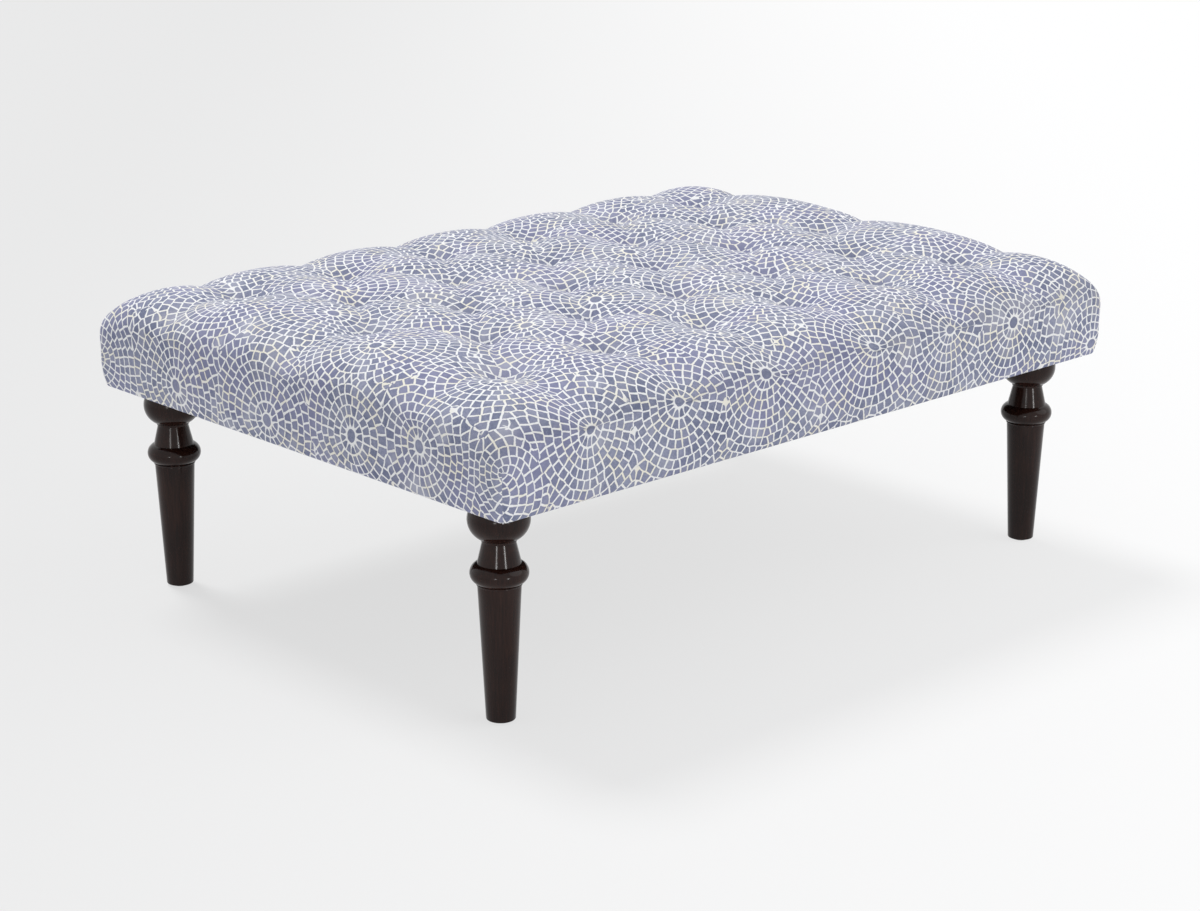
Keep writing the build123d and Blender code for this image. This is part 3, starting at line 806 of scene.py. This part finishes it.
def place_piece(name, mesh, material):
    """Makes an object of a mesh that moves with the table's one body."""
    piece = bpy.data.objects.new(name, mesh)
    bpy.context.collection.objects.link(piece)
    mesh.materials.append(material)
    smooth_faces(mesh)
    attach(piece, "root")
    return piece


def apply_modifiers(piece):
    """Bakes a piece's modifiers into its mesh."""
    graph = bpy.context.evaluated_depsgraph_get()
    final = bpy.data.meshes.new_from_object(piece.evaluated_get(graph))
    piece.modifiers.clear()
    piece.data = final


def cushion(material):
    """Tufted cloth body."""
    piece = place_piece("cushion", cushion_mesh(), material)
    thicken = piece.modifiers.new("thickness", "SOLIDIFY")
    thicken.thickness = CLOTH_THICKNESS * MM
    thicken.offset = -1
    apply_modifiers(piece)
    smooth_faces(piece.data)
    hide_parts("cover")


# Legs, in millimetres above the floor and from the leg's axis

LEG_SEGMENTS = 72
AXIS_RADIUS = 0.01
FOOT_RADIUS = 18.7
FOOT_EDGE = 2.0
FOOT_STEPS = 5
GLIDE_THICKNESS = 2.5
SHAFT_TOP_RADIUS = 27.4
SHAFT_TOP = 179.3
SHAFT_STEPS = 12
BAND_GAP = 0.4
BAND_RADIUS = 28.8
BAND_HEIGHT = 3.0
BAND_STEPS = 8
RING_RADIUS = 36.8
RING_HEIGHT = 25.2
RING_SWELL = 13.6
RING_STEPS = 20
NECK_GAP = 0.3
NECK_FOOT_RADIUS = 27.4
NECK_TOP_RADIUS = 20.9
NECK_HEIGHT = 28.0
NECK_STEPS = 6
COLLAR_RADIUS = 22.4
COLLAR_ROUNDING = 1.2
COLLAR_STEPS = 4
BALL_RADIUS = 39.2
BALL_SWELL = 28.0
BALL_MIDDLE_BELOW_BODY = 23.0
BALL_BELOW_BODY = 1.2
BALL_STEPS = 28
SEAT_RADIUS = 24.0
SEAT_TOP = 289.5
SHARP_ANGLE = 0.6


def arc(middle_height, middle_radius, radius, start, stop, steps):
    """Points of a rounded bead: radius and height."""
    points = []
    for step in range(steps + 1):
        angle = start + (stop - start) * step / steps
        points.append((middle_radius + radius * cos(angle), middle_height + radius * sin(angle)))
    return points


def straight(start, stop, steps):
    """Points of a straight stretch, without its start: radius and height."""
    points = []
    for step in range(1, steps + 1):
        share = step / steps
        points.append(tuple(low + (high - low) * share for low, high in zip(start, stop)))
    return points


def leg_profile():
    """Radius and height along the turned leg, with small worn edges."""
    foot_bottom = GLIDE_THICKNESS
    foot_top = foot_bottom + FOOT_EDGE
    foot_inner = FOOT_RADIUS - FOOT_EDGE
    points = [(AXIS_RADIUS, foot_bottom), (foot_inner, foot_bottom)]
    points += arc(foot_top, foot_inner, FOOT_EDGE, -pi / 2, 0, FOOT_STEPS)[1:]
    points += straight((FOOT_RADIUS, foot_top), (SHAFT_TOP_RADIUS, SHAFT_TOP - BAND_GAP), SHAFT_STEPS)

    band = BAND_HEIGHT / 2
    points += arc(SHAFT_TOP + band, BAND_RADIUS - band, band, -pi / 2, pi / 2, BAND_STEPS)

    ring_bottom = SHAFT_TOP + BAND_HEIGHT
    ring_top = ring_bottom + RING_HEIGHT
    ring_angle = asin(RING_HEIGHT / 2 / RING_SWELL)
    ring_middle = (ring_bottom + ring_top) / 2
    points += arc(ring_middle, RING_RADIUS - RING_SWELL, RING_SWELL, -ring_angle, ring_angle, RING_STEPS)

    neck_start = (NECK_FOOT_RADIUS, ring_top + NECK_GAP)
    neck_top = ring_top + NECK_HEIGHT
    points += [neck_start] + straight(neck_start, (NECK_TOP_RADIUS, neck_top), NECK_STEPS)
    collar_inner = COLLAR_RADIUS - COLLAR_ROUNDING
    points += arc(neck_top + COLLAR_ROUNDING, collar_inner, COLLAR_ROUNDING, -pi / 2, 0, COLLAR_STEPS)

    ball_middle = UNDERSIDE - BALL_MIDDLE_BELOW_BODY
    ball_top = UNDERSIDE - BALL_BELOW_BODY
    ball_inner = BALL_RADIUS - BALL_SWELL
    ball_low = -acos((COLLAR_RADIUS - ball_inner) / BALL_SWELL)
    ball_high = asin((ball_top - ball_middle) / BALL_SWELL)
    points += arc(ball_middle, ball_inner, BALL_SWELL, ball_low, ball_high, BALL_STEPS)
    return points + [(SEAT_RADIUS, ball_top), (SEAT_RADIUS, SEAT_TOP), (AXIS_RADIUS, SEAT_TOP)]


def leg_mesh(centre_x, centre_y):
    """Turned leg about its axis."""
    profile = leg_profile()
    points = []
    for radius, height in profile:
        for segment in range(LEG_SEGMENTS):
            angle = 2 * pi * segment / LEG_SEGMENTS
            x = centre_x + radius * cos(angle) * MM
            y = centre_y + radius * sin(angle) * MM
            points.append((x, y, height * MM))
    faces = []
    for level in range(len(profile) - 1):
        for segment in range(LEG_SEGMENTS):
            following = (segment + 1) % LEG_SEGMENTS
            low = level * LEG_SEGMENTS
            high = low + LEG_SEGMENTS
            faces.append([low + segment, low + following, high + following, high + segment])
    last = (len(profile) - 1) * LEG_SEGMENTS
    faces.append(list(reversed(range(LEG_SEGMENTS))))
    faces.append([last + segment for segment in range(LEG_SEGMENTS)])
    mesh = bpy.data.meshes.new("leg")
    mesh.from_pydata(points, [], faces)
    return mesh


def legs(material):
    """Four turned legs, each where its CAD node stands, with crisp steps between their smooth forms."""
    for corner in ("front_left", "front_right", "back_left", "back_right"):
        node = f"leg_{corner}"
        low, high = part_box(node)
        middle = (low + high) / 2
        piece = place_piece(f"turned_{node}", leg_mesh(middle.x, middle.y), material)
        piece.data.set_sharp_from_angle(angle=SHARP_ANGLE)
        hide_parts(node)


# Carried-over CAD nodes

def dress_nodes():
    """Gives each CAD node that stays its material."""
    frame_wood = timber("frame_timber", FRAME_TIMBER_TONES)
    deck_wood = timber("deck_timber", DECK_TIMBER_TONES)
    steel = zinc_steel()
    glide_finish = nylon()
    finishes = {
        "wadding": fibre("wadding_fibre", WADDING_TONES, scale=300.0),
        "foam_core": fibre("foam_cells", FOAM_TONES, scale=900.0),
        "tufting_twine": fibre("twine_fibre", TWINE_TONES, scale=1200.0),
        "tee_nuts": steel,
        "hanger_bolts": steel,
        "dust_cover": dust_cloth(),
    }
    for name, node in frame["nodes"].items():
        if name in finishes:
            material = finishes[name]
        elif name.startswith("glide"):
            material = glide_finish
        elif name.startswith("deck_board"):
            material = deck_wood
        elif name.startswith(("rail", "brace", "corner_block")):
            material = frame_wood
        else:
            continue
        node.data.materials.clear()
        node.data.materials.append(material)


# Stage

def seen_share(tree):
    """1 for what is seen, also in gloss or through glass, and 0 for the light that a surface sheds."""
    path = tree.node("LightPath")
    direct = tree.math("MAXIMUM", path.outputs["Is Camera Ray"], path.outputs["Is Glossy Ray"])
    return tree.math("MAXIMUM", direct, path.outputs["Is Transmission Ray"])


def floor_paint():
    """Pale floor, mostly seen as an even tone that darkens a little to the left, with a faint shadow."""
    tree = Nodes("floor_paint")
    place = tree.parts(tree.node("TexCoord").outputs["Object"])
    way_x, way_y = FLOOR_FADE_WAY
    across = tree.math("ADD", tree.math("MULTIPLY", place[0], way_x), tree.math("MULTIPLY", place[1], way_y))
    to_right = tree.smooth(across, low=-FLOOR_FADE_REACH, high=FLOOR_FADE_REACH)
    tone = tree.mix(to_right, FLOOR_LEFT, FLOOR_RIGHT)
    seen = tree.node("Emission", {"Color": tone, "Strength": 1.0})
    lit = tree.node("BsdfDiffuse", {"Color": tone})
    share = tree.math("MULTIPLY", seen_share(tree), FLOOR_EVEN_SHARE)
    blend = tree.node("MixShader", {0: share, 1: lit.outputs[0], 2: seen.outputs[0]})
    tree.node("OutputMaterial", {"Surface": blend.outputs[0]})
    return tree.owner


def floor():
    """Plain pale floor."""
    mesh = bpy.data.meshes.new("floor")
    corners = [(x * FLOOR_REACH, y * FLOOR_REACH, 0) for x, y in ((-1, -1), (1, -1), (1, 1), (-1, 1))]
    mesh.from_pydata(corners, [], [(0, 1, 2, 3)])
    piece = bpy.data.objects.new("floor", mesh)
    bpy.context.collection.objects.link(piece)
    mesh.materials.append(floor_paint())


def sun(name, azimuth, elevation, softness, power):
    """Distant soft light, from an azimuth that counts anticlockwise from +X."""
    light = bpy.data.lights.new(name, "SUN")
    light.angle = radians(softness)
    light.energy = power
    piece = bpy.data.objects.new(name, light)
    along = cos(radians(elevation))
    height = sin(radians(elevation))
    towards = Vector((cos(radians(azimuth)) * along, sin(radians(azimuth)) * along, height))
    piece.rotation_euler = towards.to_track_quat("Z", "Y").to_euler()
    bpy.context.collection.objects.link(piece)


def world():
    """Pale surroundings: one tone where they are seen, and a cooler, dimmer one that lights the table."""
    tree = Nodes("studio", "worlds")
    bpy.context.scene.world = tree.owner
    seen = tree.node("Background", {"Color": FLOOR_RIGHT, "Strength": 1.0})
    light = tree.node("Background", {"Color": SKY_COLOUR, "Strength": SKY_STRENGTH})
    blend = tree.node("MixShader", {0: seen_share(tree), 1: light.outputs[0], 2: seen.outputs[0]})
    tree.node("OutputWorld", {"Surface": blend.outputs[0]})


def camera():
    """The photograph's view."""
    lens = bpy.data.cameras.new("camera")
    lens.lens = CAMERA_LENS
    lens.sensor_width = SENSOR_WIDTH
    piece = bpy.data.objects.new("camera", lens)
    piece.location = CAMERA_PLACE
    towards = Vector(CAMERA_TARGET) - Vector(CAMERA_PLACE)
    piece.rotation_euler = towards.to_track_quat("-Z", "Y").to_euler()
    bpy.context.collection.objects.link(piece)
    bpy.context.scene.camera = piece


cushion(mosaic_cloth())
legs(dark_lacquered_wood())
dress_nodes()
floor()
world()
for light_name, light_setting in LIGHTS.items():
    sun(light_name, *light_setting)
camera()
bpy.context.scene.view_settings.view_transform = "Standard"
